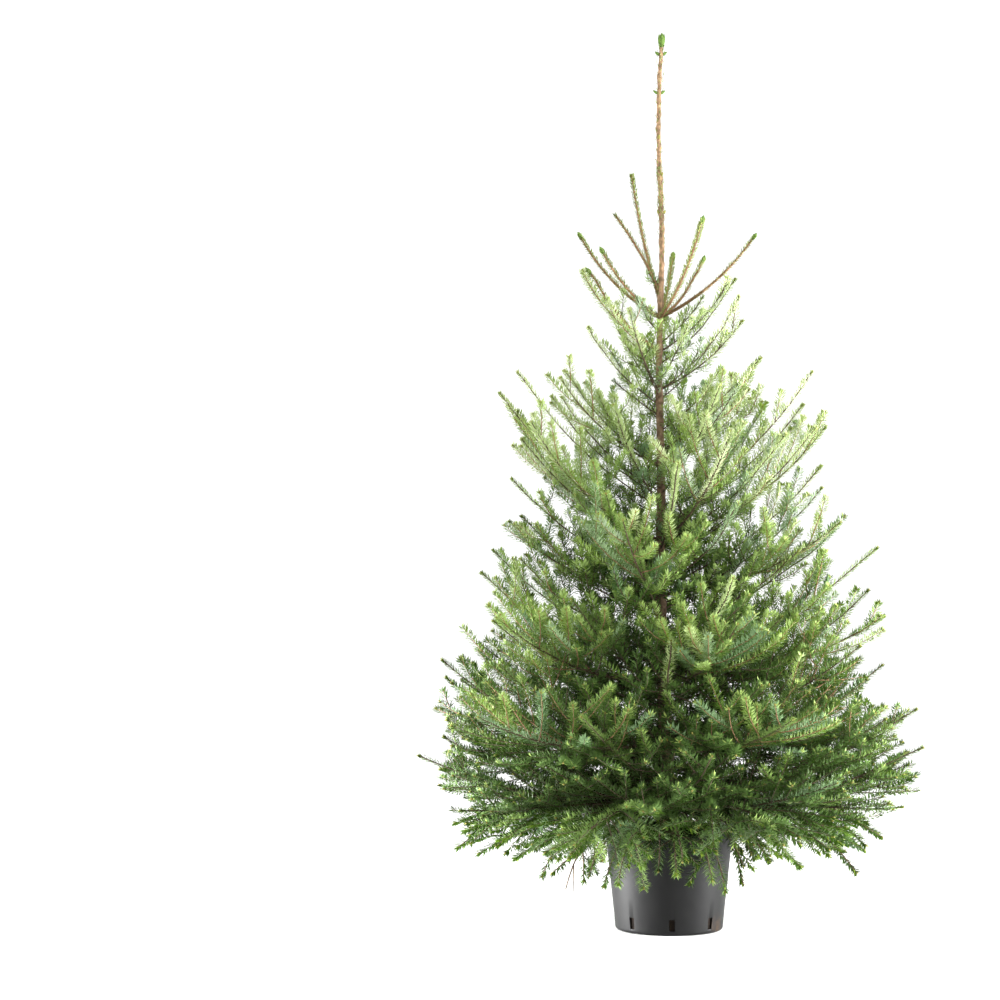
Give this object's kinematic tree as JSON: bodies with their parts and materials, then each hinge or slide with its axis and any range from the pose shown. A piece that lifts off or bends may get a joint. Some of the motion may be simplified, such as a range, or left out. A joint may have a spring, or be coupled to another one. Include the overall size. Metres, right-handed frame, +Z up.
{
  "type": "potted spruce tree",
  "caption": "Young Serbian spruce with a tall bare leader and tiers of needle-clad boughs, standing in a plain round nursery pot filled with compost.",
  "frame": {"origin": "middle of the pot's flat underside", "axes": "+Z up along the trunk, -Y towards the front that the picture shows, +X to its right"},
  "size_m": [0.9641, 0.9823, 1.762],
  "materials": {
    "pot": "satin moulded polyethylene",
    "compost": "moist crumbly compost",
    "bark": "thin scaly bark",
    "needles": "waxy needles"
  },
  "bodies": {
    "root": {"pot": "pot", "compost": "compost", "trunk": "bark", "broad_limb_1": "bark", "broad_limb_2": "bark", "broad_limb_3": "bark", "broad_limb_4": "bark", "broad_limb_5": "bark", "broad_mass_1": "needles", "broad_mass_2": "needles", "broad_mass_3": "needles", "broad_mass_4": "needles", "broad_mass_5": "needles", "collar_mass_1": "needles", "collar_mass_2": "needles", "crown_mass_1": "needles", "crown_mass_2": "needles", "crown_mass_3": "needles", "crown_mass_4": "needles", "crown_mass_5": "needles", "lower_limb_1": "bark", "lower_limb_2": "bark", "lower_limb_3": "bark", "lower_limb_4": "bark", "lower_limb_5": "bark", "lower_limb_6": "bark", "lower_mass_1": "needles", "lower_mass_2": "needles", "lower_mass_3": "needles", "lower_mass_4": "needles", "lower_mass_5": "needles", "lower_mass_6": "needles", "middle_mass_1": "needles", "middle_mass_2": "needles", "middle_mass_3": "needles", "middle_mass_4": "needles", "shoulder_mass_1": "needles", "shoulder_mass_2": "needles", "shoulder_mass_3": "needles", "shoulder_mass_4": "needles", "skirt_mass_1": "needles", "skirt_mass_2": "needles", "skirt_mass_3": "needles", "skirt_mass_4": "needles", "skirt_mass_5": "needles", "skirt_mass_6": "needles", "spire_mass_1": "needles", "upper_mass_1": "needles", "upper_mass_2": "needles", "upper_mass_3": "needles", "waist_limb_1": "bark", "waist_limb_2": "bark", "waist_limb_3": "bark", "waist_limb_4": "bark", "waist_limb_5": "bark", "waist_mass_1": "needles", "waist_mass_2": "needles", "waist_mass_3": "needles", "waist_mass_4": "needles", "waist_mass_5": "needles"}
  },
  "joints": []
}
